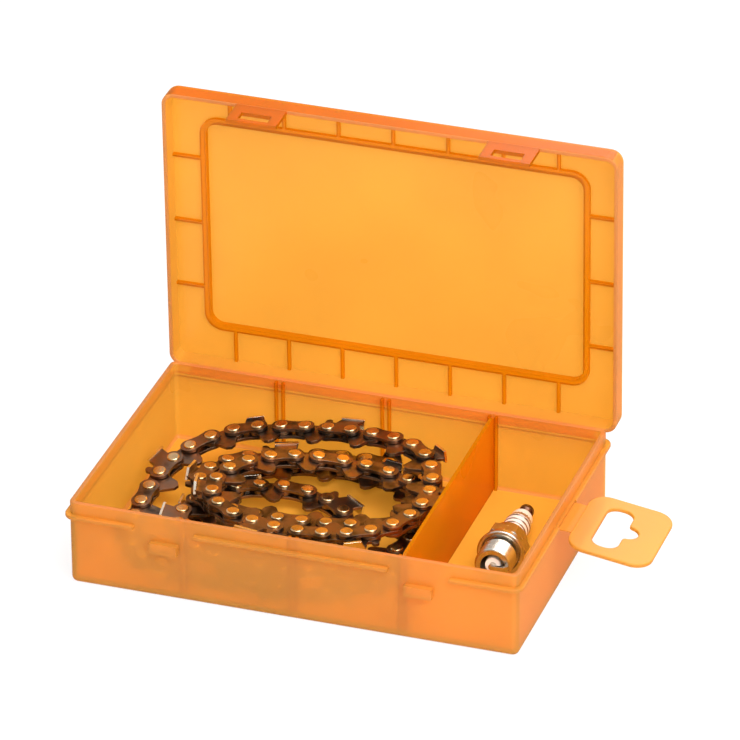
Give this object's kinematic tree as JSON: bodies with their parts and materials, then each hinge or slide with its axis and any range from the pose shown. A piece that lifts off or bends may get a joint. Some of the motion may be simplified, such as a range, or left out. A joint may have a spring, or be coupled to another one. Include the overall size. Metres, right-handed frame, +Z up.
{
  "type": "saw chain storage box",
  "caption": "Shallow hinged plastic box with a lid, snap latches, a hang tab and a loose divider, holding a coiled saw chain and a spark plug.",
  "frame": {"origin": "centre of the tray's underside", "axes": "+Z up out of the tray, +X along the box towards the hang tab, the lid is hinged along the back at +Y and stands open"},
  "size_m": [0.2173, 0.1304, 0.1504],
  "materials": {
    "orange_plastic": "translucent satin polypropylene",
    "divider_plastic": "translucent satin polypropylene, deeper in colour",
    "chain_steel": "oiled bronze-brown heat-treated steel",
    "cutter_steel": "chrome-plated steel with a bronze tint",
    "rivet_steel": "polished oiled steel",
    "plated_steel": "bright zinc plating",
    "ceramic": "glazed white ceramic",
    "terminal_steel": "dark brown plated steel"
  },
  "bodies": {
    "tray": {"tray": "orange_plastic", "hinge_film_tray": "orange_plastic", "tab_film_tray": "orange_plastic"},
    "lid": {"lid": "orange_plastic", "lid_latches": "orange_plastic", "hinge_film_lid": "orange_plastic"},
    "hang_tab": {"hang_tab": "orange_plastic", "tab_film_tab": "orange_plastic"},
    "divider": {"divider": "divider_plastic"},
    "saw_chain": {"chain_drive_links": "chain_steel", "chain_tie_straps": "chain_steel", "chain_cutters_left": "cutter_steel", "chain_cutters_right": "cutter_steel", "chain_rivets": "rivet_steel"},
    "spark_plug": {"plug_shell": "plated_steel", "plug_insulator": "ceramic", "plug_gasket": "plated_steel", "plug_terminal": "terminal_steel", "plug_centre_electrode": "plated_steel", "plug_side_electrode": "plated_steel"}
  },
  "joints": [
    {"name": "lid_hinge", "type": "hinge", "parent": "tray", "child": "lid", "pos_m": [0, 0.0607, 0.0299], "axis": [-1, 0, 0], "range_deg": [-88.7, 91.3]},
    {"name": "tab_fold", "type": "hinge", "parent": "tray", "child": "hang_tab", "pos_m": [0.092, 0, 0.0285], "axis": [0, -1, 0], "range_deg": [-40, 98.5]},
    {"name": "divider_lift", "type": "slide", "parent": "tray", "child": "divider", "axis": [0, 0, 1], "range_m": [0, 0.04]},
    {"name": "chain_lift", "type": "slide", "parent": "tray", "child": "saw_chain", "axis": [0, 0, 1], "range_m": [0, 0.04]},
    {"name": "plug_lift", "type": "slide", "parent": "tray", "child": "spark_plug", "axis": [0, 0, 1], "range_m": [0, 0.04]}
  ]
}
